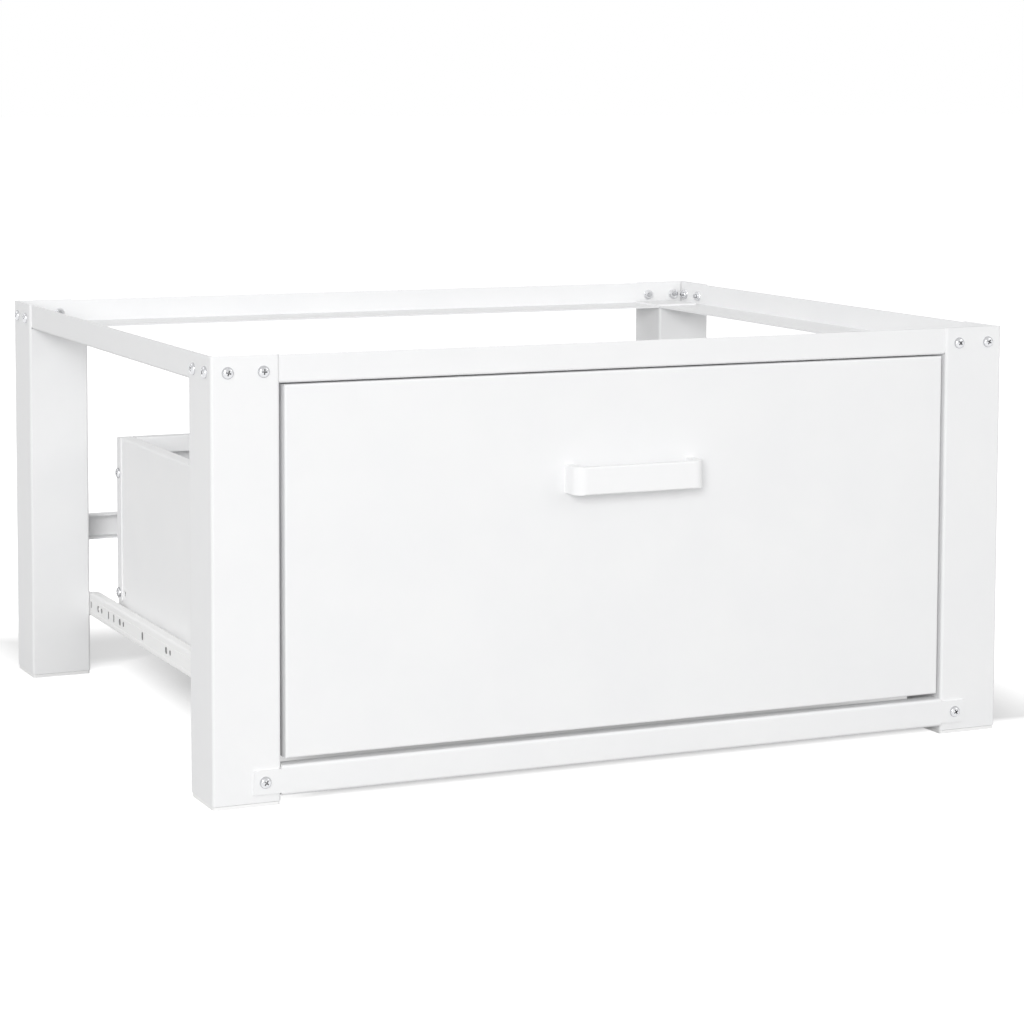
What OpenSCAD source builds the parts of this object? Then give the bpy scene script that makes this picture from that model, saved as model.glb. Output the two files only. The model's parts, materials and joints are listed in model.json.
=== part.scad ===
// Washing machine pedestal with one drawer.
// Four folded posts carry an L-section top frame. The drawer runs on roller slides.
// Every piece is drawn from the frame's front left corner on the floor:
// x to the right, y to the back, z up. place() then centres the whole object.

/* [Frame] */
// Width over the posts
frame_w = 628; // [560:1:760]
// Depth over the posts
frame_d = 520; // [430:1:640]
// Height from the floor to the top of the posts
frame_h = 310; // [270:1:400]
// Outer width of a square post
post_w = 49; // [46:0.5:60]
// Sheet thickness of a post
post_wall = 2; // [1.5:0.1:2.1]
// Outer radius of a post's folded edges
post_bend_r = 2.2; // [2.2:0.1:4]
// Height of a foot cap below the post
foot_t = 3; // [2:0.5:8]
// How far a foot cap stays inside the post's outline
foot_inset = 0.5; // [0:0.1:1]

/* [Top rails] */
// Height of a rail from its ledge's underside to the top of the posts
rail_h = 20; // [16:0.5:40]
// How far a rail's upper edge stays below the top of the posts
rail_drop = 0.5; // [0:0.1:2]
// Sheet thickness of a rail
rail_t = 1.5; // [1.2:0.1:1.8]
// Outer radius of a rail's fold
rail_bend_r = 2; // [2:0.1:4]

/* [Bottom rail and tie bar] */
// Height of the channel's web
bar_h = 21; // [18:0.5:30]
// Sheet thickness of the channel
bar_t = 1.5; // [1.2:0.1:2.5]
// Depth of the channel's folded edges
bar_return = 12; // [6:1:25]
// Length of a tab that laps over a post
bar_tab = 20; // [16:1:28]
// Underside of the front channel above the floor
front_bar_z = 6.5; // [4:0.5:12]
// Underside of the rear channel above the floor
tie_bar_z = 106.5; // [90:0.5:160]
// Gap between the front channel and the drawer front
bar_gap = 4.2; // [2:0.1:8]

/* [Screws] */
// Diameter of a screw's shank
screw_d = 3.9; // [3:0.1:4.2]
// Diameter of the holes that the screws pass through
hole_d = 4.4; // [4.3:0.1:5.5]
// Diameter of a screw head
head_d = 8.4; // [7:0.1:9]
// Height of a screw head
head_h = 2.4; // [1.6:0.1:3]
// Distance of a post's outer screws from its outer edge
screw_near = 12; // [12:0.5:16]
// Distance of a post's inner screws from its outer edge
screw_far = 37.5; // [30:0.5:40]
// Distance of the channel screws from the post's outer edge
bar_screw_x = 37.2; // [34:0.1:41]

/* [Slides] */
// Space between a post and the drawer box
slide_gap = 13; // [12.7:0.1:16]
// Height of a cabinet rail
slide_h = 20; // [19:0.5:24]
// Underside of a cabinet rail above the floor
slide_z = 48.5; // [40:0.5:60]
// Sheet thickness of rails and runners
slide_t = 1.2; // [1:0.1:1.4]
// Depth of a cabinet rail's channel
slide_depth = 9; // [8.8:0.1:9.4]
// Distance of a cabinet rail behind the frame's front
slide_y = 24; // [22:1:30]
// Distance of the channel's back end from the frame's back
slide_back_gap = 46; // [44:1:60]
// Diameter of a front roller
front_roller_d = 13; // [11:0.1:13.4]
// Diameter of a rear roller
rear_roller_d = 17; // [15:0.1:17]
// Width of a roller
roller_w = 4.8; // [4:0.1:4.9]
// Diameter of a roller's pin
pin_d = 5; // [4:0.1:5.5]
// Radial clearance between a pin and its roller
pin_play = 0.05; // [0.02:0.01:0.1]
// Room left between the two pairs of rollers with the drawer fully open
roller_spare = 34; // [26:1:80]

/* [Drawer] */
// Gap on each side of the drawer front
front_gap = 3.5; // [2:0.1:6]
// Gap above the drawer front
front_top_gap = 1.1; // [1:0.1:5]
// Depth of the drawer front
front_depth = 18; // [16:0.5:24]
// Sheet thickness of the drawer
sheet = 1; // [0.8:0.1:1.2]
// Underside of the drawer box above the floor
box_z = 47; // [44:0.5:48]
// Height of the drawer box
box_h = 156; // [120:1:210]
// Distance of the drawer box from the frame's back
box_back_gap = 88; // [80:0.5:110]
// Width of the folded rims
rim_w = 12.5; // [8:0.5:20]
// Height of the rims' inner lips
rim_lip = 13; // [6:0.5:25]

/* [Handle] */
// Width of the handle
handle_w = 102.5; // [80:0.5:200]
// Height of the handle's strip
handle_h = 20; // [14:0.5:30]
// How far the handle stands out
handle_out = 20; // [16:0.5:30]
// Thickness of the handle's grip
handle_t = 4; // [3:0.1:6]
// Thickness of the handle's legs
handle_leg = 6.5; // [6:0.1:12]
// Underside of the handle above the floor
handle_z = 203.5; // [60:0.5:220]

/* [Hidden] */
$fn = 64;
paint = [0.95, 0.95, 0.95];
epoxy = [0.91, 0.91, 0.9];
zinc = [0.72, 0.73, 0.75];
nylon = [0.88, 0.88, 0.86];
plastic = [0.97, 0.97, 0.97];
eps = 0.01;                                     // overlap inside one solid
over = 1;                                       // how far a cutter runs past a face
fit_gap = 0.3;                                  // gap between pieces of two bodies
lay_gap = 0.2;                                  // gap between loose edges of one body

// The handle, the rear screws' heads and the tie bar set the depth of the whole object
overall_d = handle_out + frame_d + bar_t + head_h;
mid_y = handle_out + frame_d / 2 - overall_d / 2;

seat_z = frame_h - rail_h;                      // underside of the rails' ledges
ledge_z = seat_z + rail_t;                      // top of the side rails' ledges
rail_in = post_wall + rail_t;                   // inner face of a rail's web
front_bar_mid = front_bar_z + bar_h / 2;
tie_bar_mid = tie_bar_z + bar_h / 2;
bay_w = frame_w - 2 * post_w;                   // clear width between the posts

foot_plug_h = front_bar_mid - 5 - foot_t;       // stops below the weld nut
foot_line_h = 0.4;                              // shadow line between a post and its cap
foot_line_in = 0.7;
nut_h = 3.2;
nut_af = 7;                                     // across the flats
nut_flange_d = 9;
nut_flange_h = 0.9;
nut_play = 0.05;
screw_z = ledge_z + 7;
screw_len = 8.2;                                // under the head
tab_in_x = 12;                                  // end of a front or back rail's tab
tab_in_y = screw_len + 0.4;                     // its edge beside the web
recess_w = 1.1;
recess_depth = 1.3;
recess_span = 4.8;

// Cabinet rail, front roller and runner share one set of heights
slide_lip = 2.2;
slide_tab = 26;                                 // screw tab behind the channel
slide_len = frame_d - slide_y - slide_back_gap; // length of the channel
slide_mid = slide_z + slide_h / 2;
slide_floor = slide_z + slide_t;                // where the rear roller runs
slide_screw_front = slide_y + 8;
slide_screw_back = slide_y + slide_len + 12;
front_roller_y = slide_y + 22;
front_roller_z = slide_floor + 0.6 + front_roller_d / 2;
box_back = frame_d - box_back_gap;
rear_roller_y = box_back - 12;
travel = rear_roller_y - front_roller_y - roller_spare; // how far the drawer slides out
rear_roller_z = slide_floor + fit_gap + rear_roller_d / 2;
run_z = front_roller_z + front_roller_d / 2 + fit_gap;  // underside of the runner's ledge
stop_h = 3.5;
stop_t = 1.5;
web_in = post_w + slide_t;                      // inner face of the cabinet rail's web
roller_x = web_in + 1.4;                        // outer face of a roller
roller_end = roller_x + roller_w;
collar_d = 7.5;
pin_head_d = 8;
pin_head_h = 0.7;
runner_x = post_w + slide_gap - slide_t;        // outer face of a runner
runner_y = front_depth + 1.5;
runner_leg = 13;
runner_screw_y = [runner_y + 30, (runner_y + rear_roller_y) / 2, rear_roller_y - 40];
runner_head_h = 1.4;
runner_head_d = 6.5;

// Punched row in the cabinet rail: distance from its back end, width and height of each hole
slide_hole_pitch = 62;
slide_pair_gap = 10;
slide_holes = concat(
    [[6, 3, 6]],
    [for (i = [0, 1, 3]) [27 + i * slide_hole_pitch, 5.5, 5.5]],
    [for (i = [0, 1, 3]) [27 + slide_pair_gap + i * slide_hole_pitch, 4.2, 4.2]],
    [[57, 3, 6.5], [72, 3, 6.5], [27 + 2 * slide_hole_pitch, 4.5, 6.5]]
);

box_x = post_w + slide_gap;                     // outer face of the drawer's side
box_top = box_z + box_h;
front_x = post_w + front_gap;                   // left edge of the drawer front
front_z = front_bar_z + bar_h + bar_gap;
front_w = frame_w - 2 * front_x;
front_h = seat_z - front_top_gap - front_z;
fold_r = 1.5;                                   // outer radius of the drawer's folds
slide_r = 2;                                    // outer radius of the rails' and runners' folds
crease_w = 0.9;                                 // rolled creases along a cabinet rail's web
crease_deep = 0.35;
crease_high = 5.4;                              // below the rail's top edge
crease_low = 4.6;                               // above its bottom edge
bar_r = 2.2;                                    // outer radius of the channels' folds
grip_r = 1.2;                                   // rounding of the handle's long edges
inner_rim = 10;                                 // depth of the inner panel's folded edge
side_flange = 15;                               // front flange of a drawer side
wrap_z = slide_z + slide_h + 1;                 // the back's wraps start above the rails
wrap_corner = 4;
back_screw_in = 6.5;
back_screw_z = [wrap_z + 6, box_top - 29];
spare_hole_in = 18;
spare_hole_d = 6;
front_screw_z = [box_z + 24, box_z + box_h / 2, box_top - 24];
handle_mid_z = handle_z + handle_h / 2;
handle_screw_x = handle_w / 2 - handle_leg / 2; // from the middle
handle_bore_d = 4;
handle_screw_in = 12;
handle_outer_r = 8;
handle_inner_r = 5;
access_d = 14;

// ---- places and shared shapes

module flip_x(on) {
    if (on) mirror([1, 0, 0]) children();
    else children();
}

module flip_y(on) {
    if (on) mirror([0, 1, 0]) children();
    else children();
}

// Drawn at the front left, and mirrored to the right or the back
module place(right = false, back = false) {
    translate([0, mid_y, 0])
        flip_x(right) flip_y(back)
            translate([-frame_w / 2, -frame_d / 2, 0]) children();
}

module both_sides() {
    place(false) children();
    place(true) children();
}

module each_corner() {
    for (right = [false, true], back = [false, true]) place(right, back) children();
}

module box(x0, x1, y0, y1, z0, z1) {
    translate([x0, y0, z0]) cube([x1 - x0, y1 - y0, z1 - z0]);
}

module along_x(x, y, z) {
    translate([x, y, z]) rotate([0, 90, 0]) children();
}

module along_y(x, y, z) {
    translate([x, y, z]) rotate([-90, 0, 0]) children();
}

module round_square(w, r) {
    translate([r, 0]) square([w - 2 * r, w]);
    translate([0, r]) square([w, w - 2 * r]);
    for (x = [r, w - r], y = [r, w - r]) translate([x, y]) circle(r);
}

// Folded angle: a leg along y, a leg along x, round outside and inside at the fold
module angle_outline(long, tall, t, r) {
    difference() {
        union() {
            translate([r, 0]) square([long - r, t]);
            translate([0, r]) square([t, tall - r]);
            intersection() {
                translate([r, r]) circle(r);
                square(r);
            }
        }
        translate([r, r]) circle(r - t);
    }
}

// A quarter of a folded corner: sheet t, outer radius r, centred on x, y and turned by a
module fold(x, y, r, t, a) {
    translate([x, y]) rotate(a) difference() {
        intersection() {
            circle(r);
            square(r);
        }
        circle(r - t);
    }
}

// Channel that opens to +x: a web w tall, with edges that reach out to x = top and x = bottom
module channel_outline(w, bottom, top, t, r) {
    translate([0, r]) square([t, w - 2 * r]);
    fold(r, r, r, t, 180);
    fold(r, w - r, r, t, 90);
    translate([r, 0]) square([bottom - r, t]);
    translate([r, w - t]) square([top - r, t]);
}

// A block whose four edges round its face at y = 0 are round. It reaches from x0 to x1,
// 0 to depth and z0 to z1
module soft_block(x0, x1, depth, z0, z1, r) {
    intersection() {
        translate([0, 0, z0]) linear_extrude(z1 - z0) soft_face(x0, x1, depth, r);
        translate([x1, 0, 0]) rotate([0, -90, 0]) linear_extrude(x1 - x0)
            soft_face(z0, z1, depth, r);
    }
}

module soft_face(a, b, depth, r) {
    translate([a, r]) square([b - a, depth - r]);
    translate([a + r, 0]) square([b - a - 2 * r, depth]);
    for (x = [a + r, b - r]) translate([x, r]) circle(r);
}

// A screw whose head sits on z = 0 and stands up, with its shank below
module screw(len = screw_len, hd = head_d, hh = head_h) {
    dome_r = (hd * hd / 4 + hh * hh) / (2 * hh);
    difference() {
        union() {
            intersection() {
                cylinder(h = hh, d = hd);
                translate([0, 0, hh - dome_r]) sphere(dome_r);
            }
            translate([0, 0, -len]) cylinder(h = len + eps, d = screw_d);
        }
        for (a = [0, 90]) rotate(a)
            translate([-recess_span / 2, -recess_w / 2, hh - recess_depth])
                cube([recess_span, recess_w, recess_depth + over]);
    }
}

module flange_nut() {
    difference() {
        union() {
            cylinder(h = nut_flange_h, d = nut_flange_d);
            cylinder(h = nut_h, d = nut_af / cos(30), $fn = 6);
        }
        translate([0, 0, -over]) cylinder(h = nut_h + 2 * over, d = screw_d + 2 * nut_play);
    }
}

module weld_nut() {
    difference() {
        cylinder(h = nut_h, d = nut_af / cos(30), $fn = 6);
        translate([0, 0, -over]) cylinder(h = nut_h + 2 * over, d = screw_d + 2 * nut_play);
    }
}

module hole() {
    cylinder(h = 2 * post_wall + 2 * over, d = hole_d, center = true);
}

// ---- frame

module post(right, back) {
    bar_screw_z = back ? tie_bar_mid : front_bar_mid;
    slide_screw = back ? frame_d - slide_screw_back : slide_screw_front;
    color(paint) place(right, back) difference() {
        translate([0, 0, foot_t]) linear_extrude(frame_h - foot_t) difference() {
            round_square(post_w, post_bend_r);
            translate([post_wall, post_wall])
                round_square(post_w - 2 * post_wall, post_bend_r - post_wall);
        }
        // The inner walls stop under the rails' ledges
        box(post_wall, post_w + over, post_wall, post_w + over, seat_z, frame_h + over);
        for (s = [screw_near, screw_far]) {
            along_x(post_wall / 2, s, screw_z) hole();
            along_y(s, post_wall / 2, screw_z) hole();
        }
        along_y(bar_screw_x, post_wall / 2, bar_screw_z) hole();
        along_x(post_w - post_wall / 2, slide_screw, slide_mid) hole();
    }
}

module foot_cap(right, back) {
    plug_w = post_w - 2 * post_wall - 2 * lay_gap;
    plug_wall = 2;
    step = foot_inset + foot_line_in;
    color(plastic) place(right, back) {
        translate([foot_inset, foot_inset, 0]) linear_extrude(foot_t - foot_line_h)
            round_square(post_w - 2 * foot_inset, post_bend_r);
        // A shadow line under the post's end
        translate([step, step, foot_t - foot_line_h - eps]) linear_extrude(foot_line_h + eps)
            round_square(post_w - 2 * step, post_bend_r - foot_line_in);
        translate([post_wall + lay_gap, post_wall + lay_gap, foot_t - eps])
            linear_extrude(foot_plug_h + eps) difference() {
                round_square(plug_w, post_bend_r - post_wall);
                translate([plug_wall, plug_wall])
                    square(plug_w - 2 * plug_wall);
            }
    }
}

// A side rail's ledge runs under the ends of the front and back rails
module side_rail(right) {
    start = rail_in + lay_gap;
    color(paint) place(right) difference() {
        translate([post_wall, frame_d - start, seat_z]) rotate([90, 0, 0])
            linear_extrude(frame_d - 2 * start)
                angle_outline(post_w - post_wall, rail_h - rail_drop, rail_t, rail_bend_r);
        for (s = [screw_near, screw_far], y = [s, frame_d - s])
            along_x(rail_in, y, screw_z) hole();
    }
}

// A front or back rail. At both ends its ledge steps up over the side rail's as a tab,
// which is cut free of the webs and keeps clear of the nuts
module cross_rail(back) {
    start = post_wall + rail_bend_r + lay_gap;
    ledge_start = post_w + lay_gap;
    lap = ledge_start + 2 * rail_t;
    color(paint) place(false, back) difference() {
        union() {
            translate([ledge_start, post_wall, seat_z])
                rotate([90, 0, 90]) linear_extrude(frame_w - 2 * ledge_start)
                    angle_outline(post_w - post_wall, rail_h - rail_drop, rail_t, rail_bend_r);
            for (x = [start, frame_w - ledge_start - eps])
                box(x, x + ledge_start - start + eps, post_wall, rail_in,
                    ledge_z + lay_gap, frame_h - rail_drop);
            for (x = [tab_in_x, frame_w - lap])
                box(x, x + lap - tab_in_x, tab_in_y, post_w, ledge_z, ledge_z + rail_t);
        }
        for (s = [screw_near, screw_far], x = [s, frame_w - s])
            along_y(x, rail_in, screw_z) hole();
    }
}

// A shallow channel whose web laps over the posts' outer faces
module channel_bar(back, z) {
    inside = post_w + lay_gap;
    color(paint) place(false, back) difference() {
        union() {
            box(post_w - bar_tab, frame_w - post_w + bar_tab, -bar_t, 0,
                z + bar_r, z + bar_h - bar_r);
            translate([inside, -bar_t, z]) rotate([90, 0, 90])
                linear_extrude(frame_w - 2 * inside)
                    channel_outline(bar_h, bar_return, bar_return, bar_t, bar_r);
        }
        for (x = [bar_screw_x, frame_w - bar_screw_x])
            along_y(x, 0, z + bar_h / 2) hole();
    }
}

module corner_screws() {
    color(zinc) each_corner() for (s = [screw_near, screw_far]) {
        along_x(0, s, screw_z) mirror([0, 0, 1]) screw();
        along_y(s, 0, screw_z) mirror([0, 0, 1]) screw();
    }
}

module corner_nuts() {
    color(zinc) each_corner() for (s = [screw_near, screw_far]) {
        along_x(rail_in, s, screw_z) flange_nut();
        along_y(s, rail_in, screw_z) flange_nut();
    }
}

module bar_screws(back, z) {
    color(zinc) for (right = [false, true]) place(right, back)
        along_y(bar_screw_x, -bar_t, z) mirror([0, 0, 1]) screw();
}

module weld_nuts() {
    color(zinc) for (right = [false, true]) {
        place(right, false) {
            along_y(bar_screw_x, post_wall, front_bar_mid) weld_nut();
            along_x(post_w - post_wall, slide_screw_front, slide_mid)
                mirror([0, 0, 1]) weld_nut();
        }
        place(right, true) {
            along_y(bar_screw_x, post_wall, tie_bar_mid) weld_nut();
            along_x(post_w - post_wall, frame_d - slide_screw_back, slide_mid)
                mirror([0, 0, 1]) weld_nut();
        }
    }
}

// ---- slides

module slide_outline() {
    side = slide_depth - slide_r;
    difference() {
        channel_outline(slide_h, side, side, slide_t, slide_r);
        for (z = [crease_low, slide_h - crease_high])
            polygon([[-eps, z - crease_w / 2], [crease_deep, z], [-eps, z + crease_w / 2]]);
    }
    fold(side, slide_r, slide_r, slide_t, -90);
    fold(side, slide_h - slide_r, slide_r, slide_t, 0);
    for (z = [slide_r, slide_h - slide_t - slide_lip])
        translate([slide_depth - slide_t, z]) square([slide_t, slide_lip + slide_t - slide_r]);
}

module cabinet_rail(right) {
    rail_end = slide_y + slide_len;
    end_cut = 5;
    color(epoxy) place(right) difference() {
        union() {
            translate([post_w, rail_end, slide_z]) rotate([90, 0, 0])
                linear_extrude(slide_len) slide_outline();
            box(post_w, web_in, rail_end - eps, rail_end + slide_tab, slide_z, slide_z + slide_h);
            // Bent stops for the rear roller, behind it and ahead of it
            for (y = [rear_roller_y + rear_roller_d / 2 + fit_gap,
                      rear_roller_y - travel - rear_roller_d / 2 - fit_gap - stop_t])
                box(roller_x, roller_end - fit_gap, y, y + stop_t,
                    slide_floor - eps, slide_floor + stop_h);
        }
        // Snipped corners at the channel's back end
        translate([post_w + slide_depth, rail_end, slide_z - over]) rotate(45)
            cube([end_cut * sqrt(2), end_cut * sqrt(2), 2 * (slide_h + over)], center = true);
        for (h = slide_holes)
            along_x(post_w + slide_t / 2, rail_end - h[0], slide_mid)
                slide_punch(h[1], h[2]);
        for (y = [slide_screw_front, slide_screw_back])
            along_x(post_w + slide_t / 2, y, slide_mid) hole();
        along_x(post_w + slide_t / 2, front_roller_y, front_roller_z)
            cylinder(h = 2 * slide_t, d = pin_d + 2 * pin_play, center = true);
    }
}

// A punched hole of width w along the rail and height h, round at both ends
module slide_punch(w, h) {
    run = (h - w) / 2;
    for (x = [-run, run]) translate([x, 0, 0]) cylinder(h = 2 * slide_t, d = w, center = true);
    if (run > 0) cube([2 * run, w, 2 * slide_t], center = true);
}

module cabinet_rail_screws() {
    color(zinc) both_sides() for (y = [slide_screw_front, slide_screw_back])
        along_x(web_in, y, slide_mid) screw(len = slide_t + post_wall + nut_h + over);
}

module front_roller_pins() {
    color(zinc) both_sides() along_x(post_w, front_roller_y, front_roller_z) {
        cylinder(h = roller_end + fit_gap - post_w, d = pin_d);
        translate([0, 0, slide_t]) cylinder(h = roller_x - fit_gap - web_in, d = collar_d);
        translate([0, 0, roller_end + fit_gap - post_w - eps])
            cylinder(h = pin_head_h + eps, d = pin_head_d);
    }
}

module rear_roller_pins() {
    color(zinc) both_sides() along_x(box_x, rear_roller_y, rear_roller_z) mirror([0, 0, 1]) {
        cylinder(h = box_x - roller_x + fit_gap, d = pin_d);
        translate([0, 0, slide_t])
            cylinder(h = runner_x - roller_end - fit_gap, d = collar_d);
        translate([0, 0, box_x - roller_x + fit_gap - eps])
            cylinder(h = pin_head_h + eps, d = pin_head_d);
    }
}

module roller(right, y, z, d) {
    groove = 0.5;
    r = d / 2;
    color(nylon) place(right) along_x(roller_x, y, z) rotate_extrude() polygon([
        [pin_d / 2 + pin_play, 0],
        [r - groove, 0],
        [r, groove],
        [r, roller_w - groove],
        [r - groove, roller_w],
        [pin_d / 2 + pin_play, roller_w]
    ]);
}

// The runner hangs on the drawer's side: a web, a ledge that rides on the front roller,
// and a leg under the drawer's bottom edge
module runner(right) {
    ledge_end = rear_roller_y - rear_roller_d / 2 - 1.5;
    runner_end = rear_roller_y + 9;
    low = box_z - slide_t;
    high = run_z + slide_t;
    color(epoxy) place(right) difference() {
        union() {
            translate([runner_x, runner_end, 0]) rotate([90, 0, 0])
                linear_extrude(runner_end - runner_y) {
                    translate([0, low + slide_r]) square([slide_t, high - low - 2 * slide_r]);
                    fold(slide_r, low + slide_r, slide_r, slide_t, 180);
                    translate([slide_r, low]) square([runner_leg + slide_t - slide_r, slide_t]);
                }
            translate([box_x, ledge_end, 0]) rotate([90, 0, 0])
                linear_extrude(ledge_end - runner_y) {
                    fold(-slide_r, high - slide_r, slide_r, slide_t, 0);
                    translate([roller_x - 0.2 - box_x, run_z])
                        square([box_x - slide_r - roller_x + 0.2, slide_t]);
                }
        }
        for (y = runner_screw_y) along_x(runner_x, y, slide_mid - 1) hole();
        along_x(runner_x, rear_roller_y, rear_roller_z)
            cylinder(h = 4 * slide_t, d = pin_d + 2 * pin_play, center = true);
    }
}

module runner_screws() {
    color(zinc) both_sides() for (y = runner_screw_y)
        along_x(runner_x, y, slide_mid - 1) mirror([0, 0, 1])
            screw(len = slide_t + sheet + 3, hd = runner_head_d, hh = runner_head_h);
}

// ---- drawer

module drawer_front() {
    inside = front_depth + over;
    color(paint) place() difference() {
        soft_block(front_x, front_x + front_w, front_depth, front_z, front_z + front_h, fold_r);
        box(front_x + sheet, front_x + front_w - sheet, sheet, inside,
            front_z + sheet, front_z + front_h - sheet);
        for (side = [-1, 1])
            along_y(frame_w / 2 + side * handle_screw_x, sheet / 2, handle_mid_z) hole();
    }
}

// A shallow tray that closes the back of the drawer front
module drawer_inner_front() {
    x0 = front_x + sheet;
    x1 = frame_w - x0;
    z0 = front_z + sheet;
    z1 = front_z + front_h - sheet;
    color(paint) place() difference() {
        box(x0, x1, front_depth - inner_rim, front_depth, z0, z1);
        box(x0 + sheet, x1 - sheet, -over, front_depth - sheet, z0 + sheet, z1 - sheet);
        for (side = [-1, 1])
            along_y(frame_w / 2 + side * handle_screw_x, front_depth, handle_mid_z)
                cylinder(h = 4 * sheet, d = access_d, center = true);
        for (x = [box_x + side_flange / 2, frame_w - box_x - side_flange / 2], z = front_screw_z)
            along_y(x, front_depth, z) hole();
    }
}

module drawer_side(right) {
    back_face = box_back - fold_r;
    color(paint) place(right) difference() {
        union() {
            box(box_x + fold_r, box_x + side_flange, front_depth, front_depth + sheet,
                box_z + fold_r, box_top - fold_r);
            translate([box_x, back_face, box_z]) rotate([90, 0, 0])
                linear_extrude(back_face - front_depth) {
                    channel_outline(box_h, rim_w, rim_w - fold_r, sheet, fold_r);
                    rim_outline();
                }
        }
        for (z = front_screw_z) along_y(box_x + side_flange / 2, front_depth, z) hole();
        for (y = runner_screw_y) along_x(box_x, y, slide_mid - 1) hole();
        for (z = back_screw_z) along_x(box_x, box_back - back_screw_in, z) hole();
        along_x(box_x, box_back - spare_hole_in, back_screw_z[0])
            cylinder(h = 4 * sheet, d = spare_hole_d, center = true);
    }
}

// The fold and the lip at the inner edge of a rim, seen along it
module rim_outline() {
    fold(rim_w - fold_r, box_h - fold_r, fold_r, sheet, 0);
    translate([rim_w - sheet, box_h - rim_lip]) square([sheet, rim_lip - fold_r]);
}

// One side of the back's wrap, with its upper corner cut round
module back_wrap() {
    difference() {
        box(box_x - sheet, box_x, box_back - rim_w, box_back - fold_r, wrap_z, box_top);
        difference() {
            box(box_x - 2 * sheet, box_x + sheet, box_back - wrap_corner, box_back + over,
                box_top - wrap_corner, box_top + over);
            along_x(box_x - 3 * sheet, box_back - wrap_corner, box_top - wrap_corner)
                cylinder(h = 5 * sheet, r = wrap_corner);
        }
        for (z = back_screw_z) along_x(box_x, box_back - back_screw_in, z) hole();
    }
}

module drawer_back() {
    rim_x = box_x + rim_w + lay_gap;
    color(paint) {
        place() {
            box(box_x, frame_w - box_x, box_back - sheet, box_back,
                box_z + fold_r, box_top - fold_r);
            translate([rim_x, box_back, box_z]) rotate([90, 0, 90])
                linear_extrude(frame_w - 2 * rim_x) mirror([1, 0]) {
                    channel_outline(box_h, rim_w, rim_w - fold_r, sheet, fold_r);
                    rim_outline();
                }
        }
        both_sides() {
            back_wrap();
            translate([box_x - sheet + fold_r, box_back - fold_r, wrap_z])
                linear_extrude(box_top - wrap_corner - wrap_z) fold(0, 0, fold_r, sheet, 90);
        }
    }
}

module drawer_bottom() {
    edge = fold_r + lay_gap;
    lip_x = box_x + side_flange + lay_gap;
    lip_h = 12;
    color(paint) place() {
        box(box_x + edge, frame_w - box_x - edge, front_depth + sheet + lay_gap, box_back - edge,
            box_z + sheet, box_z + 2 * sheet);
        box(lip_x, frame_w - lip_x, front_depth, front_depth + sheet + 2 * lay_gap,
            box_z + sheet, box_z + 2 * sheet);
        box(lip_x, frame_w - lip_x, front_depth, front_depth + sheet,
            box_z + 2 * sheet - lip_h, box_z + 2 * sheet);
    }
}

module drawer_front_screws() {
    color(zinc) both_sides() for (z = front_screw_z)
        along_y(box_x + side_flange / 2, front_depth + sheet, z) screw(len = 2 * sheet + 4);
}

module drawer_back_screws() {
    color(zinc) both_sides() for (z = back_screw_z)
        along_x(box_x - sheet, box_back - back_screw_in, z) mirror([0, 0, 1])
            screw(len = 2 * sheet + 4);
}

// Plan outline of a bow of width w and depth d, with round outer corners of radius r
module bow_outline(w, d, r) {
    translate([-w / 2, -(d - r)]) square([w, d - r]);
    translate([-(w / 2 - r), -d]) square([w - 2 * r, d]);
    for (x = [-(w / 2 - r), w / 2 - r]) translate([x, -(d - r)]) circle(r);
}

module handle() {
    color(plastic) place() translate([frame_w / 2, 0, 0]) difference() {
        intersection() {
            translate([0, 0, handle_z]) linear_extrude(handle_h) difference() {
                bow_outline(handle_w, handle_out, handle_outer_r);
                translate([0, over])
                    bow_outline(handle_w - 2 * handle_leg, handle_out - handle_t + over,
                        handle_inner_r);
            }
            translate([handle_w / 2 + over, -handle_out, 0]) rotate([0, -90, 0])
                linear_extrude(handle_w + 2 * over)
                    soft_face(handle_z, handle_z + handle_h, handle_out, grip_r);
        }
        for (side = [-1, 1])
            along_y(side * handle_screw_x, over, handle_mid_z) mirror([0, 0, 1])
                cylinder(h = handle_screw_in + over, d = handle_bore_d);
    }
}

module handle_screws() {
    color(zinc) place() for (side = [-1, 1])
        along_y(frame_w / 2 + side * handle_screw_x, sheet, handle_mid_z)
            screw(len = sheet + handle_screw_in - 1);
}

post(false, false);  // post_front_left
post(true, false);  // post_front_right
post(false, true);  // post_back_left
post(true, true);  // post_back_right
foot_cap(false, false);  // foot_cap_front_left
foot_cap(true, false);  // foot_cap_front_right
foot_cap(false, true);  // foot_cap_back_left
foot_cap(true, true);  // foot_cap_back_right
cross_rail(false);  // top_rail_front
cross_rail(true);  // top_rail_back
side_rail(false);  // top_rail_left
side_rail(true);  // top_rail_right
channel_bar(false, front_bar_z);  // bottom_front_rail
channel_bar(true, tie_bar_z);  // rear_tie_bar
corner_screws();
corner_nuts();
bar_screws(false, front_bar_mid);  // bottom_rail_screws
bar_screws(true, tie_bar_mid);  // tie_bar_screws
weld_nuts();
cabinet_rail(false);  // cabinet_rail_left
cabinet_rail(true);  // cabinet_rail_right
cabinet_rail_screws();
front_roller_pins();
roller(false, front_roller_y, front_roller_z, front_roller_d);  // front_roller_left
roller(true, front_roller_y, front_roller_z, front_roller_d);  // front_roller_right
drawer_front();
drawer_inner_front();
drawer_side(false);  // drawer_side_left
drawer_side(true);  // drawer_side_right
drawer_back();
drawer_bottom();
drawer_front_screws();
drawer_back_screws();
handle();
handle_screws();
runner(false);  // runner_left
runner(true);  // runner_right
runner_screws();
rear_roller_pins();
roller(false, rear_roller_y, rear_roller_z, rear_roller_d);  // rear_roller_left
roller(true, rear_roller_y, rear_roller_z, rear_roller_d);  // rear_roller_right
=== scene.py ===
import json
import math

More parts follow.
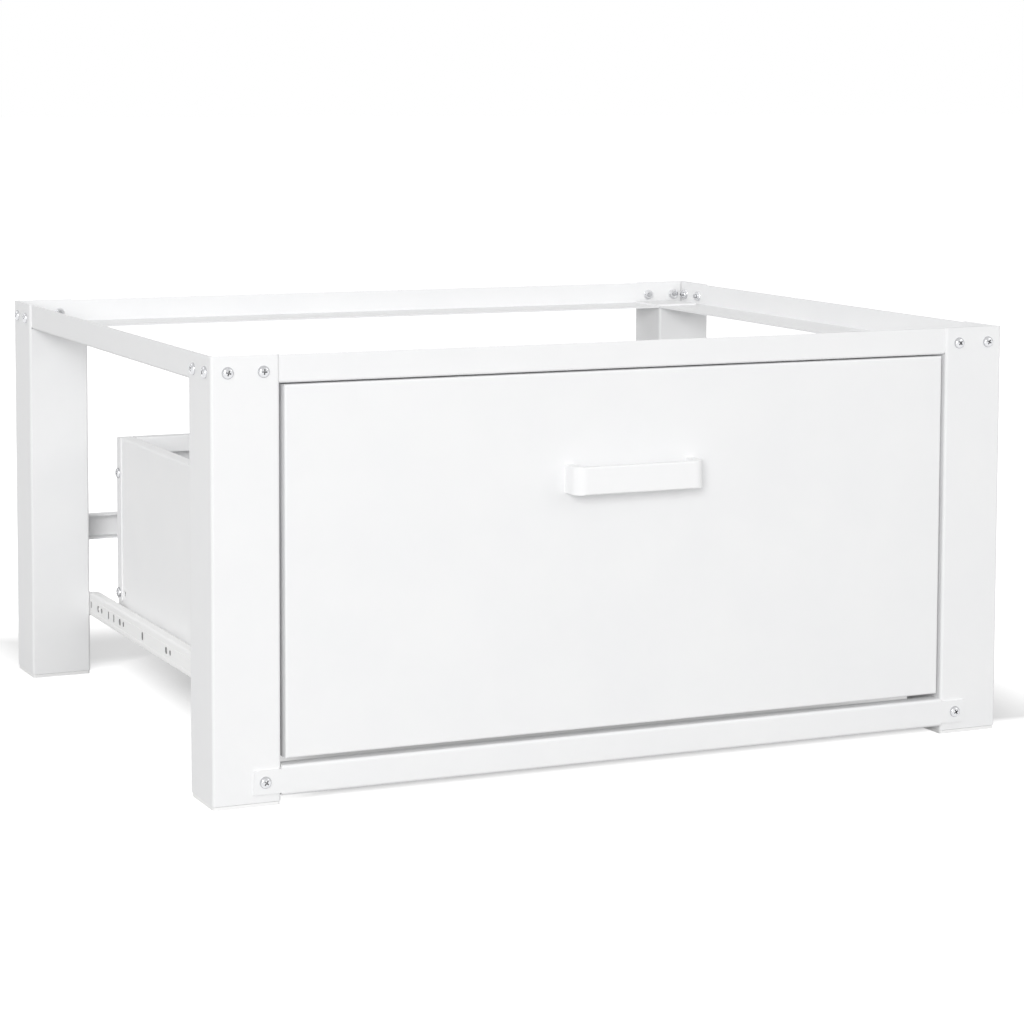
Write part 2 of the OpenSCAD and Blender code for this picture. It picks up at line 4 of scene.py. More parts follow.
import bpy
from mathutils import Euler, Matrix, Vector


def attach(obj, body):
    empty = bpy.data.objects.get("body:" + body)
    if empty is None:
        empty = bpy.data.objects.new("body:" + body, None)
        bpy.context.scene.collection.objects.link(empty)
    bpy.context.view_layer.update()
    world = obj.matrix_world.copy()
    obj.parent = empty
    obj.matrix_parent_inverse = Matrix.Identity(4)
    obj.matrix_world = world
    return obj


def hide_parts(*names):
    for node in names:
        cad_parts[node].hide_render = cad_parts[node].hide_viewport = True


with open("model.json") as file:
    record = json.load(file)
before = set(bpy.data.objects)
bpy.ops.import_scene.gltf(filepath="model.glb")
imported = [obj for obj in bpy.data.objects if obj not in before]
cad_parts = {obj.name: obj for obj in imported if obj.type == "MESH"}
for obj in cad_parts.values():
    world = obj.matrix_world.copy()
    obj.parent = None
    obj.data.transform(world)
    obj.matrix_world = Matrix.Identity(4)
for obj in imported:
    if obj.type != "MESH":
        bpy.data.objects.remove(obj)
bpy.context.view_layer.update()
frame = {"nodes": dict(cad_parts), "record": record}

cadNodes = frame["nodes"]
print("pedestal frame and drawer loaded:", len(cadNodes), "nodes")


class Signal:  # one socket of a node tree, which can be used in sums
    def __init__(self, board, socket):
        self.board, self.socket = board, socket

    def sum(self, operation, *values):
        return self.board.add("ShaderNodeMath", {"operation": operation}, dict(enumerate(values)))

    def __add__(self, other):
        return self.sum("ADD", self, other)

    def __radd__(self, other):
        return self.sum("ADD", other, self)

    def __sub__(self, other):
        return self.sum("SUBTRACT", self, other)

    def __rsub__(self, other):
        return self.sum("SUBTRACT", other, self)

    def __mul__(self, other):
        return self.sum("MULTIPLY", self, other)

    def __rmul__(self, other):
        return self.sum("MULTIPLY", other, self)

    def __truediv__(self, other):
        return self.sum("DIVIDE", self, other)

    def __rtruediv__(self, other):
        return self.sum("DIVIDE", other, self)

    def __pow__(self, other):
        return self.sum("POWER", self, other)

    def __rpow__(self, other):
        return self.sum("POWER", other, self)

    def __neg__(self):
        return self.sum("MULTIPLY", self, -1)


class Board:  # a node tree that is being filled, for a finish or for a repeated part
    def __init__(self, tree):
        self.tree = tree
        tree.nodes.clear()

    def add(self, kind, settings=None, values=None, out=0):
        node = self.tree.nodes.new(kind)
        for name, value in (settings or {}).items():
            if name == "stops":
                ramp = node.color_ramp
                while len(ramp.elements) < len(value):
                    ramp.elements.new(0.5)
                for element, (place, grey) in zip(ramp.elements, value):
                    element.position = place
                    element.color = (grey, grey, grey, 1)
            else:
                setattr(node, name, value)
        for key, value in (values or {}).items():
            for item in value if isinstance(value, list) else [value]:  # a list: several links
                if isinstance(item, Signal):
                    self.tree.links.new(item.socket, node.inputs[key])
                else:
                    node.inputs[key].default_value = item
        return Signal(self, node.outputs[out]) if node.outputs else None


def startFinish(name):
    material = bpy.data.materials.new(name)
    material.use_nodes = True
    return material, Board(material.node_tree)


def noise(board, where, scale, detail=2.0, rough=0.5):
    return board.add("ShaderNodeTexNoise", {"noise_dimensions": "3D"},
                     {"Vector": where, "Scale": scale, "Detail": detail, "Roughness": rough})


def spread(pattern, amount):
    # noise lies about 0.5, so this leaves the mean alone
    return amount * (pattern - 0.5)


def bump(board, height, depth, strength, under=None):
    values = {"Strength": strength, "Distance": depth, "Height": height}
    if under is not None:
        values["Normal"] = under
    return board.add("ShaderNodeBump", {}, values)


def blendColours(board, share, first, second):
    ends = [end if isinstance(end, Signal) else (*end, 1) for end in (first, second)]
    return board.add("ShaderNodeMix", {"data_type": "RGBA"},
                     {0: share, 6: ends[0], 7: ends[1]}, out=2)


def objectPlace(board, stretch=(1, 1, 1)):
    place = board.add("ShaderNodeTexCoord", out=3)
    return board.add("ShaderNodeMapping", {}, {"Vector": place, "Scale": stretch})


def axisOf(board, place, axis):
    return board.add("ShaderNodeSeparateXYZ", {}, {0: place}, out=axis)


def closeFinish(board, values):
    shader = board.add("ShaderNodeBsdfPrincipled", {}, values)
    board.add("ShaderNodeOutputMaterial", {}, {"Surface": shader})


def powderCoat(name, white, thin):
    # satin white powder: orange peel about 1.5 mm across, over sheet that is a little wavy
    look = {"white": white, "thin": thin, "patches": 21, "filmEnds": [(0.32, 0.0), (0.68, 1.0)],
            "peel": 640, "peelDepth": 0.000022, "peelStrength": 0.55,
            "sheetWave": 9, "sheetWaveDepth": 0.00011, "sheetWaveStrength": 0.6,
            "roughness": 0.55, "patchSpread": 0.09, "peelSpread": 0.05, "specular": 0.32}
    material, board = startFinish(name)
    place = objectPlace(board)
    peel = noise(board, place, look["peel"], detail=2.5, rough=0.45)
    patches = noise(board, place, look["patches"], detail=3.0)
    sheetWave = noise(board, place, look["sheetWave"], detail=1.0)
    flow = bump(board, sheetWave, look["sheetWaveDepth"], look["sheetWaveStrength"])
    skin = bump(board, peel, look["peelDepth"], look["peelStrength"], flow)
    film = board.add("ShaderNodeValToRGB", {"stops": look["filmEnds"]}, {"Fac": patches})
    closeFinish(board, {
        "Base Color": blendColours(board, film, look["thin"], look["white"]),
        "Roughness": look["roughness"] + spread(patches, look["patchSpread"])
        + spread(peel, look["peelSpread"]),
        "Specular IOR Level": look["specular"], "Normal": skin})
    return material


def slideEpoxy():
    # smoother than the powder, with draw marks along the rail; the walls of the holes in the web
    # get a painted shade, and "row" gives where they lie: the middle and the reach in |x|, y and z
    look = {"white": (0.935, 0.935, 0.93), "shade": (0.905, 0.905, 0.9), "patches": 34,
            "marks": 1500, "markStretch": (1, 0.02, 1), "markDepth": 0.00001,
            "markStrength": 0.35, "roughness": 0.4, "markSpread": 0.1, "patchSpread": 0.08,
            "punched": (0.38, 0.38, 0.383),
            "row": ((0.2644, 0.00055), (0.0048, 0.2147), (0.0585, 0.004))}
    material, board = startFinish("slideEpoxyCoat")
    place = objectPlace(board)
    marks = noise(board, objectPlace(board, look["markStretch"]), look["marks"])
    patches = noise(board, place, look["patches"], detail=3.0)
    skin = bump(board, marks, look["markDepth"], look["markStrength"])
    # the mask of the holes' walls, which get the painted shade
    inHole = 1.0
    for axis, (middle, reach) in enumerate(look["row"]):
        along = axisOf(board, place, axis)
        if axis == 0:  # both sides alike
            along = along.sum("ABSOLUTE", along)
        inHole = inHole * along.sum("COMPARE", along, middle, reach)
    coat = blendColours(board, patches, look["shade"], look["white"])
    closeFinish(board, {
        "Base Color": blendColours(board, inHole, coat, look["punched"]),
        "Roughness": look["roughness"] + spread(marks, look["markSpread"])
        + spread(patches, look["patchSpread"]),
        "Normal": skin})
    return material


def brightZinc(name, bright, dull):
    # plated steel: cloudy passivation in fine grains, a little duller where it is thin,
    # and a painted shade that darkens the screws' cross recess
    look = {"bright": bright, "dull": dull, "recess": (0.22, 0.22, 0.226),
            "grains": 2300, "grainDepth": 0.000012, "grainStrength": 0.4, "clouds": 260,
            "cloudShare": 0.6, "roughness": 0.24, "grainSpread": 0.16, "cloudSpread": 0.12}
    material, board = startFinish(name)
    place = objectPlace(board)
    grains = noise(board, place, look["grains"], detail=3.0, rough=0.6)
    clouds = noise(board, place, look["clouds"])
    skin = bump(board, grains, look["grainDepth"], look["grainStrength"])
    # painted shade: the cross recess is darker the deeper each face lies under the head's dome
    depth = board.add("ShaderNodeAttribute", {"attribute_name": "recessDepth"}, out=2)
    cloudiness = look["cloudShare"] * clouds + (1 - look["cloudShare"]) * grains
    plate = blendColours(board, cloudiness, look["dull"], look["bright"])
    closeFinish(board, {
        "Base Color": blendColours(board, depth, plate, look["recess"]),
        "Metallic": 1.0,
        "Roughness": look["roughness"] + spread(grains, look["grainSpread"])
        + spread(clouds, look["cloudSpread"]),
        "Normal": skin})
    return material


def handleEnamel():
    # sprayed enamel on a zinc casting: nearly smooth, with a slow ripple of the casting
    look = {"white": (0.915, 0.917, 0.92), "shade": (0.898, 0.901, 0.905),
            "ripple": 95, "rippleDepth": 0.00005, "rippleStrength": 0.5,
            "spray": 1100, "sprayDepth": 0.000012, "sprayStrength": 0.3,
            "roughness": 0.6, "spraySpread": 0.08, "specular": 0.25}
    material, board = startFinish("handleEnamel")
    place = objectPlace(board)
    ripple = noise(board, place, look["ripple"])
    spray = noise(board, place, look["spray"])
    under = bump(board, ripple, look["rippleDepth"], look["rippleStrength"])
    skin = bump(board, spray, look["sprayDepth"], look["sprayStrength"], under)
    closeFinish(board, {
        "Base Color": blendColours(board, ripple, look["shade"], look["white"]),
        "Roughness": look["roughness"] + spread(spray, look["spraySpread"]),
        "Specular IOR Level": look["specular"], "Normal": skin})
    return material


def capPlastic():
    # matt moulded cap with an eroded mould texture and a faint flow of the melt
    look = {"white": (0.93, 0.93, 0.927), "shade": (0.905, 0.905, 0.9),
            "eroded": 1700, "erodedDepth": 0.00003, "erodedStrength": 0.5,
            "melt": 30, "meltStretch": (1, 1, 5), "roughness": 0.52, "erodedSpread": 0.12}
    material, board = startFinish("footCapPlastic")
    eroded = noise(board, objectPlace(board), look["eroded"], detail=4.0, rough=0.65)
    melt = noise(board, objectPlace(board, look["meltStretch"]), look["melt"])
    closeFinish(board, {
        "Base Color": blendColours(board, melt, look["shade"], look["white"]),
        "Roughness": look["roughness"] + spread(eroded, look["erodedSpread"]),
        "Normal": bump(board, eroded, look["erodedDepth"], look["erodedStrength"])})
    return material


def rollerNylon():
    # natural nylon: milky, slightly warm, polished where it runs
    look = {"white": (0.83, 0.825, 0.80), "shade": (0.76, 0.752, 0.72), "milk": 180,
            "track": 700, "trackStretch": (6, 1, 1), "trackDepth": 0.00001,
            "trackStrength": 0.4, "roughness": 0.36, "trackSpread": 0.14}
    material, board = startFinish("rollerNylon")
    milk = noise(board, objectPlace(board), look["milk"], detail=3.0)
    track = noise(board, objectPlace(board, look["trackStretch"]), look["track"])
    closeFinish(board, {
        "Base Color": blendColours(board, milk, look["shade"], look["white"]),
        "Roughness": look["roughness"] + spread(track, look["trackSpread"]),
        "Normal": bump(board, track, look["trackDepth"], look["trackStrength"])})
    return material


finishes = {"white_painted_steel": powderCoat("whitePowderCoat", (0.885, 0.887, 0.89),
                                              (0.868, 0.871, 0.877)),
            "epoxy_white_steel": slideEpoxy(),
            "zinc_steel": brightZinc("zincPlate", (0.7, 0.705, 0.72), (0.46, 0.465, 0.48)),
            "handle_white": handleEnamel(), "white_plastic": capPlastic(),
            "nylon": rollerNylon()}
# painted light: the nuts get a lighter zinc than the screws, the drawer's sides a whiter coat
nutFinishPaintedLight = brightZinc("nutZincPaintedLight", (0.9, 0.905, 0.915), (0.7, 0.705, 0.72))
# painted light: the sides' coat is whiter to stand in for light bounced up from the floor
sideFinishPaintedLight = powderCoat("sidePowderCoatPaintedLight", (0.93, 0.931, 0.933), (0.915, 0.917, 0.921))
drawerSides = ["drawer_side_left", "drawer_side_right"]
for part in frame["record"]["subparts"]:
    meshData = cadNodes[part["node"]].data
    meshData.materials.clear()
    meshData.materials.append(sideFinishPaintedLight if part["node"] in drawerSides
                              else finishes[part["material_slot"]])


def startParts(name, sizes):
    tree = bpy.data.node_groups.new(name, "GeometryNodeTree")
    board = Board(tree)
    face = tree.interface
    face.new_socket("Geometry", in_out="OUTPUT", socket_type="NodeSocketGeometry")
    face.new_socket("Geometry", in_out="INPUT", socket_type="NodeSocketGeometry")
    names = {}
    for label, value in sizes.items():
        kind = "NodeSocketInt" if isinstance(value, int) else "NodeSocketFloat"
        item = face.new_socket(label, in_out="INPUT", socket_type=kind)
        item.default_value = value
        names[label] = item.identifier
    source = tree.nodes.new("NodeGroupInput")
    inputs = {socket.name: Signal(board, socket) for socket in source.outputs if socket.name}
    return tree, board, inputs, names


def point(board, x=0.0, y=0.0, z=0.0):
    return board.add("ShaderNodeCombineXYZ", {}, {0: x, 1: y, 2: z})


def turned(board, rings, sides, height, radius):
    # a shape of revolution: its height and radius come from the share of the way along its axis,
    # so the line that it starts from may have any length
    line = board.add("GeometryNodeCurvePrimitiveLine", {"mode": "POINTS"}, {"End": (0, 0, 0.001)})
    line = board.add("GeometryNodeResampleCurve", {}, {"Curve": line, "Count": rings})
    share = board.add("GeometryNodeSplineParameter")
    kept = board.add("GeometryNodeCaptureAttribute", {}, {"Geometry": line})
    keeper = kept.socket.node
    keeper.capture_items.new("FLOAT", "share")
    board.tree.links.new(share.socket, keeper.inputs[1])
    share = Signal(board, keeper.outputs[1])
    line = board.add("GeometryNodeSetPosition", {},
                     {"Geometry": kept, "Position": point(board, z=height(share))})
    ring = board.add("GeometryNodeCurvePrimitiveCircle", {"mode": "RADIUS"},
                     {"Resolution": sides, "Radius": 1.0})
    return board.add("GeometryNodeCurveToMesh", {},
                     {"Curve": line, "Profile Curve": ring, "Scale": radius(share),
                      "Fill Caps": True})


def cut(board, operation, first, others):
    return board.add("GeometryNodeMeshBoolean", {"operation": operation, "solver": "EXACT"},
                     {0: first, 1: others} if operation == "DIFFERENCE" else {1: [first, *others]})


def isBelow(board, value, limit):
    return board.add("FunctionNodeCompare", {"data_type": "FLOAT", "operation": "LESS_THAN"},
                     {0: value, 1: limit})


def setOut(board, inputs, shape, finish):
    # one shape at each point, turned to face the point's own way and spun by chance
    softBelow = 0.62  # radians between two faces, past which their edge stays hard
    facing = board.add("GeometryNodeInputNamedAttribute", {"data_type": "FLOAT_VECTOR"},
                       {"Name": "facing"})
    turn = board.add("FunctionNodeAlignRotationToVector", {"axis": "Z"}, {"Vector": facing})
    placed = board.add("GeometryNodeInstanceOnPoints", {},
                       {"Points": inputs["Geometry"], "Instance": shape, "Rotation": turn})
    spin = board.add("FunctionNodeRandomValue", {"data_type": "FLOAT"},
                     {2: 0.0, 3: inputs["spin"], "Seed": inputs["seed"]}, out=1)
    spin = point(board, z=spin)
    placed = board.add("GeometryNodeRotateInstances", {},
                       {"Instances": placed, "Rotation": spin, "Local Space": True})
    whole = board.add("GeometryNodeRealizeInstances", {}, {"Geometry": placed})
    soft = isBelow(board, board.add("GeometryNodeInputMeshEdgeAngle"), softBelow)
    whole = board.add("GeometryNodeSetShadeSmooth", {"domain": "EDGE"},
                      {"Geometry": whole, "Shade Smooth": soft})
    whole = board.add("GeometryNodeSetShadeSmooth", {"domain": "FACE"},
                      {"Geometry": whole, "Shade Smooth": True})
    whole = board.add("GeometryNodeSetMaterial", {}, {"Geometry": whole, "Material": finish})
    board.add("NodeGroupOutput", {}, {0: whole})


screwSizes = {"headWidth": 0.0084, "headHeight": 0.00233, "headFullness": 0.5,
              "shankWidth": 0.0039, "shankLength": 0.0082, "pitch": 0.0007, "threadDepth": 0.00032,
              "recessSpan": 0.005, "recessWidth": 0.0012, "recessDepth": 0.0015,
              "spin": 1.57, "seed": 11}


def screwTree():
    tree, board, size, names = startParts("panScrew", screwSizes)
    headRings, headSides, shankSides, ringsPerTurn = 18, 40, 14, 4
    wingTaper = 0.52  # the cross at its bottom, as a share of its size at the top
    # painted shade fills the cross: darkWithin is its reach, darkFrom the depth where it is full
    darkWithin, darkFrom = 0.56, 0.0006  # the cross's reach from the axis, and its dark depth
    neck = 0.0002  # how far the shank reaches into the head
    quarter, almost = math.pi / 2, 0.9999  # almost keeps the cosine above nought
    head = turned(board, headRings, headSides,
                  lambda way: size["headHeight"] * way.sum("SINE", way * quarter),
                  lambda way: size["headWidth"] / 2
                  * way.sum("COSINE", way * quarter * almost) ** size["headFullness"])
    wings = []
    for span, width in (("recessSpan", "recessWidth"), ("recessWidth", "recessSpan")):
        wing = board.add("GeometryNodeMeshCube", {},
                         {"Size": point(board, size[span], size[width], 2 * size["recessDepth"])})
        here = board.add("GeometryNodeInputPosition")
        bottom = isBelow(board, axisOf(board, here, 2), 0.0)
        narrow = board.add("ShaderNodeVectorMath", {"operation": "MULTIPLY"},
                           {0: here, 1: (wingTaper, wingTaper, 1)})
        wing = board.add("GeometryNodeSetPosition", {},
                         {"Geometry": wing, "Selection": bottom, "Position": narrow})
        wings.append(board.add("GeometryNodeTransform", {},
                               {"Geometry": wing,
                                "Translation": point(board, z=size["headHeight"])}))
    head = cut(board, "DIFFERENCE", head, wings)
    # how far each face lies under the head's dome, which sets the painted shade in the cross
    here = board.add("GeometryNodeInputPosition")
    flat = board.add("ShaderNodeVectorMath", {"operation": "MULTIPLY"}, {0: here, 1: (1, 1, 0)})
    across = board.add("ShaderNodeVectorMath", {"operation": "LENGTH"}, {0: flat}, out=1)
    inside = across.sum("LESS_THAN", across, size["recessSpan"] * darkWithin)
    dome = size["headHeight"] * (1 - (across / (size["headWidth"] / 2)) ** 4) ** 0.5
    depth = board.add("ShaderNodeClamp", {}, {"Value": (dome - axisOf(board, here, 2)) / darkFrom})
    head = board.add("GeometryNodeStoreNamedAttribute", {"data_type": "FLOAT", "domain": "FACE"},
                     {"Geometry": head, "Name": "recessDepth", "Value": depth * inside})
    rings = size["shankLength"] / size["pitch"] * ringsPerTurn + 2
    shank = turned(board, rings, shankSides,
                   lambda way: neck - way * (size["shankLength"] + neck),
                   lambda way: size["shankWidth"] / 2 - size["threadDepth"]
                   * way.sum("PINGPONG", way * size["shankLength"], size["pitch"] / 2)
                   / (size["pitch"] / 2))
    whole = board.add("GeometryNodeJoinGeometry", {}, {0: [head, shank]})
    setOut(board, size, whole, finishes["zinc_steel"])
    return tree, names


nutSizes = {"acrossFlats": 0.007, "height": 0.0032, "flangeWidth": 0.009, "flangeHeight": 0.0009,
            "boreWidth": 0.004, "chamfer": 0.00045, "spin": 1.04, "seed": 5}


def nutTree():
    tree, board, size, names = startParts("flangeNut", nutSizes)
    coneRings, flangeRings, boreRings = 3, 4, 2
    coneSides, flangeSides, boreSides = 48, 40, 24
    coneStart, coneSlope = 1.2, 2.6  # in chamfers: how far outside the corners, then inwards
    flangeSlope = 0.7  # how far the flange's edge comes in, as a share of its height
    reach = 0.2  # of the bore past both ends, as a share of the nut's height

    def upperHalf(way):  # nought up to half way, then rising to 1
        late = way * 2 - 1
        return late.sum("MAXIMUM", late, 0.0)

    corner = size["acrossFlats"] / (2 * math.cos(math.pi / 6))
    hexagon = board.add("GeometryNodeMeshCylinder", {"fill_type": "NGON"},
                        {"Vertices": 6, "Radius": corner, "Depth": size["height"]})
    hexagon = board.add("GeometryNodeTransform", {},
                        {"Geometry": hexagon, "Translation": point(board, z=size["height"] / 2)})
    # a cone takes the six corners off the nut's top
    cone = turned(board, coneRings, coneSides, lambda way: way * size["height"],
                  lambda way: corner + size["chamfer"] * coneStart
                  - upperHalf(way) * size["chamfer"] * coneSlope)
    hexagon = cut(board, "INTERSECT", hexagon, [cone])
    flange = turned(board, flangeRings, flangeSides, lambda way: way * size["flangeHeight"],
                    lambda way: size["flangeWidth"] / 2
                    - upperHalf(way) * size["flangeHeight"] * flangeSlope)
    body = cut(board, "UNION", hexagon, [flange])
    bore = turned(board, boreRings, boreSides,
                  lambda way: (way * (1 + 2 * reach) - reach) * size["height"],
                  lambda way: size["boreWidth"] / 2)
    body = cut(board, "DIFFERENCE", body, [bore])
    setOut(board, size, body, nutFinishPaintedLight)
    return tree, names


frameWidth, frameDepth = 628, 520  # mm
frontFace = 251.95  # mm from the front posts' faces to the middle of the scene


def growParts(name, made, changes, spots):
    # spots are ((x, y, z), (facing)) in mm from the frame's front left corner on the floor
    tree, names = made
    points = bpy.data.meshes.new(name + "Spots")
    points.from_pydata([((x - frameWidth / 2) / 1000, (y - frontFace) / 1000, z / 1000)
                        for (x, y, z), facing in spots], [], [])
    facing = points.attributes.new("facing", "FLOAT_VECTOR", "POINT")
    facing.data.foreach_set("vector", [part for spot in spots for part in spot[1]])
    holder = bpy.data.objects.new(name + "Spots", points)
    bpy.context.scene.collection.objects.link(holder)
    modifier = holder.modifiers.new("parts", "NODES")
    modifier.node_group = tree
    for label, value in changes.items():
        modifier[names[label]] = value
    bpy.context.view_layer.update()
    grown = bpy.data.meshes.new_from_object(
        holder.evaluated_get(bpy.context.evaluated_depsgraph_get()))
    bpy.data.objects.remove(holder)
    piece = bpy.data.objects.new(name, grown)
    bpy.context.scene.collection.objects.link(piece)
    print(name, "at", len(spots), "spots,", len(grown.polygons), "faces")
    return piece


def mirrored(spots, backToo=False):
    # repeats what is at the front left on the right, and at the back
    done = list(spots)
    if backToo:
        done += [((x, frameDepth - y, z), (fx, -fy, fz)) for (x, y, z), (fx, fy, fz) in spots]
    return done + [((frameWidth - x, y, z), (-fx, fy, fz)) for (x, y, z), (fx, fy, fz) in done]


toLeft, toRight, toFront, toBack = (-1, 0, 0), (1, 0, 0), (0, -1, 0), (0, 1, 0)
# in mm, like the spots
cornerHeight, besideCorner, nutInset = 298.5, (12, 37.5), 3.5  # inset: post's and rail's sheet
barX, barSheet, railHeight, tieHeight = 37.2, 1.5, 17, 117  # rail in front, tie bar behind
postWall, postInside, slideWeb = 2, 47, 50.2  # the last two from the frame's left side
slideEnds, slideHeight = (32, 486), 58.5
flangeX, flangeBack, flangeHeights = 69.5, 19, (71, 125, 179)  # box to drawer front
sideX, wrapY, wrapHeights = 61, 425.5, (75.5, 174)  # drawer's back to its sides
handleReach, panBack, handleHeight = 48, 1, 213.5
runnerX, runnerHeight, runnerPlaces = 60.8, 57.5, (49.5, 219.75, 380)

cornerSpots = [((0, s, cornerHeight), toLeft) for s in besideCorner]
cornerSpots += [((s, 0, cornerHeight), toFront) for s in besideCorner]
barSpots = [((barX, -barSheet, railHeight), toFront),
            ((barX, frameDepth + barSheet, tieHeight), toBack)]
frameSpots = mirrored(cornerSpots, True) + mirrored(barSpots)
slideSpots = mirrored([((slideWeb, y, slideHeight), toRight) for y in slideEnds])
boxSpots = mirrored([((flangeX, flangeBack, z), toBack) for z in flangeHeights]
                    + [((sideX, wrapY, z), toLeft) for z in wrapHeights])
handleSpots = [((frameWidth / 2 + side * handleReach, panBack, handleHeight), toBack)
               for side in (-1, 1)]
runnerSpots = mirrored([((runnerX, y, runnerHeight), toLeft) for y in runnerPlaces])
nutSpots = mirrored([((nutInset, s, cornerHeight), toRight) for s in besideCorner]
                    + [((s, nutInset, cornerHeight), toBack) for s in besideCorner], True)
weldSpots = mirrored([((barX, postWall, railHeight), toBack),
                      ((barX, frameDepth - postWall, tieHeight), toFront)]
                     + [((postInside, y, slideHeight), toLeft) for y in slideEnds])

panScrew, flangeNut = screwTree(), nutTree()
lowHead = {"headWidth": 0.0065, "headHeight": 0.0014, "recessSpan": 0.0036, "recessWidth": 0.0009,
           "recessDepth": 0.0009, "shankLength": 0.0052}
fasteners = [
    ("frameScrews", "frame", panScrew, {}, frameSpots,
     ["corner_screws", "bottom_rail_screws", "tie_bar_screws"]),
    ("slideScrews", "frame", panScrew, {"shankLength": 0.0074}, slideSpots,
     ["cabinet_rail_screws"]),
    ("frameNuts", "frame", flangeNut, {}, nutSpots, ["corner_nuts"]),
    ("weldNuts", "frame", flangeNut, {"flangeWidth": 0.0066}, weldSpots, ["weld_nuts"]),
    ("drawerScrews", "drawer", panScrew, {"shankLength": 0.006}, boxSpots,
     ["drawer_front_screws", "drawer_back_screws"]),
    ("handleScrews", "drawer", panScrew, {"shankLength": 0.012}, handleSpots, ["handle_screws"]),
    ("runnerScrews", "drawer", panScrew, lowHead, runnerSpots, ["runner_screws"]),
]
for name, body, made, changes, spots, stoodFor in fasteners:
    piece = growParts(name, made, changes, spots)
    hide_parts(*stoodFor)
    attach(piece, body)


def seenRays(board):
    # 1 on rays that carry the background to the camera, straight or in metal and glass
    ray = board.add("ShaderNodeLightPath").socket.node
    seen = [Signal(board, ray.outputs[name])
            for name in ("Is Camera Ray", "Is Glossy Ray", "Is Transmission Ray")]
    return board.add("ShaderNodeClamp", {}, {"Value": seen[0] + seen[1] + seen[2]})


def studioFloor():
    # the floor shows white to the camera and keeps the pedestal's soft shadow under it and
    # just behind it; elsewhere a painted light, seen only by the camera, lightens it to plain
    # white
    look = {"reach": 30.0, "grey": (0.5, 0.5, 0.5), "paintedLift": (0.34, 0.34, 0.34),
            "roughness": 0.9, "fibres": 300, "fibreSpread": 0.05,
            # in metres: where the floor starts to lighten, and how far on it is white
            "far": (0.55, 1.3), "front": (0.217, 0.034), "back": (0.339, 0.14),
            "left": (0.262, 0.12), "right": (0.32, 0.185),
            "leftUnder": (0.184, 0.095), "leftBack": (-0.283, 0.081)}
    reach = look["reach"]
    mesh = bpy.data.meshes.new("studioFloor")
    mesh.from_pydata([(-reach, -reach, 0), (reach, -reach, 0), (reach, reach, 0),
                      (-reach, reach, 0)], [], [(0, 1, 2, 3)])
    floor = bpy.data.objects.new("studioFloor", mesh)
    bpy.context.scene.collection.objects.link(floor)
    material, board = startFinish("studioPaper")
    place = objectPlace(board)
    away = board.add("ShaderNodeVectorMath", {"operation": "LENGTH"}, {0: place}, out=1)
    x, y = axisOf(board, place, 0), axisOf(board, place, 1)

    def past(distance, name):
        start, length = look[name]
        return (distance - start) / length

    # painted light: a lit strip under the left slide, as far as the back post, as if light from
    # the left reached in
    under, back = past(-x, "leftUnder"), past(-y, "leftBack")
    paintedLightFade = under.sum("MINIMUM", under, back)
    for other in (past(-x, "left"), past(x, "right"), past(-y, "front"), past(y, "back"),
                  past(away, "far")):
        paintedLightFade = paintedLightFade.sum("MAXIMUM", paintedLightFade, other)
    paintedLightFade = board.add("ShaderNodeMapRange", {"interpolation_type": "SMOOTHSTEP"}, {0: paintedLightFade})
    paintedLift = blendColours(board, paintedLightFade, look["paintedLift"], (1, 1, 1))
    fibres = noise(board, place, look["fibres"])
    closeFinish(board, {
        "Base Color": (*look["grey"], 1),
        "Roughness": look["roughness"] + look["fibreSpread"] * fibres,
        "Specular IOR Level": 0.0,
        "Emission Color": blendColours(board, seenRays(board), (0, 0, 0), paintedLift),
        "Emission Strength": 1.0})
    mesh.materials.append(material)


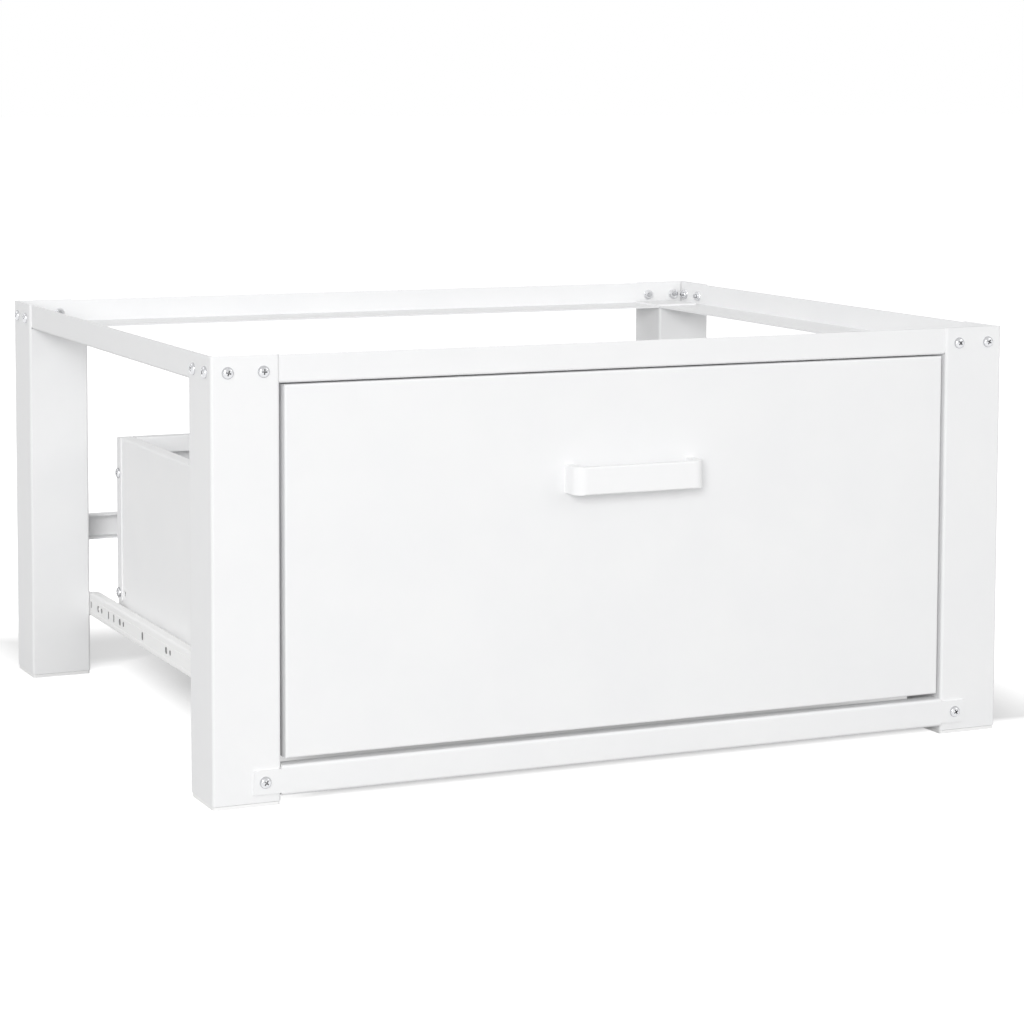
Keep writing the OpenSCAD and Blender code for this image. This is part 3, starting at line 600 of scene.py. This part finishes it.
def studioWorld():
    look = {"white": (1, 1, 1, 1), "fill": 0.666}  # white to the camera, weaker as light
    world = bpy.data.worlds.new("studioWorld")
    world.use_nodes = True
    board = Board(world.node_tree)
    sky, backdrop = [board.add("ShaderNodeBackground", {}, {"Color": look["white"],
                                                            "Strength": strength})
                     for strength in (look["fill"], 1.0)]
    both = board.add("ShaderNodeMixShader", {}, {0: seenRays(board), 1: sky, 2: backdrop})
    board.add("ShaderNodeOutputWorld", {}, {"Surface": both})
    bpy.context.scene.world = world


def studioLamps():
    # soft boxes: the main one at the front left, weak ones at the back left and the right
    lamps = {"frontBox": {"place": (-1.932, -3.346, 1.185), "watts": 70.9, "size": 1.4},
             "backBox": {"place": (-1.725, 0.996, 1.821), "watts": 5.2, "size": 1.2},
             "rightBox": {"place": (2.416, -2.879, 1.518), "watts": 11.2, "size": 1.4}}
    target = Vector((0, 0, 0.15))  # the middle of the pedestal
    for name, lamp in lamps.items():
        light = bpy.data.lights.new(name, "AREA")
        light.energy, light.size = lamp["watts"], lamp["size"]
        holder = bpy.data.objects.new(name, light)
        holder.location = lamp["place"]
        aim = target - holder.location
        holder.rotation_euler = aim.to_track_quat("-Z", "Y").to_euler()
        bpy.context.scene.collection.objects.link(holder)


def photoCamera():
    # solved from the posts' corners in the photograph; a larger shift would keep the uprights
    # quite parallel, but this much fits them within six pixels
    view = {"place": (-0.9129, -2.07265, 0.4977), "yaw": 24.2434, "pitch": -4.8171,
            "roll": 0.1867, "lens": 100.712, "sensor": 36, "shift": -0.19, "clip": (0.1, 100)}
    camera = bpy.data.cameras.new("photoCamera")
    camera.lens, camera.sensor_width, camera.shift_y = view["lens"], view["sensor"], view["shift"]
    camera.clip_start, camera.clip_end = view["clip"]
    holder = bpy.data.objects.new("photoCamera", camera)
    holder.location = view["place"]
    tilt, turn, roll = [math.radians(angle)
                        for angle in (90 + view["pitch"], -view["yaw"], view["roll"])]
    level = Euler((tilt, 0, turn)).to_matrix()
    holder.rotation_euler = (level @ Matrix.Rotation(roll, 3, "Z")).to_euler()
    bpy.context.scene.collection.objects.link(holder)
    bpy.context.scene.camera = holder


studioFloor()
studioWorld()
studioLamps()
photoCamera()
bpy.context.scene.view_settings.view_transform = "Standard"
print("floor, world, lamps and camera are set")
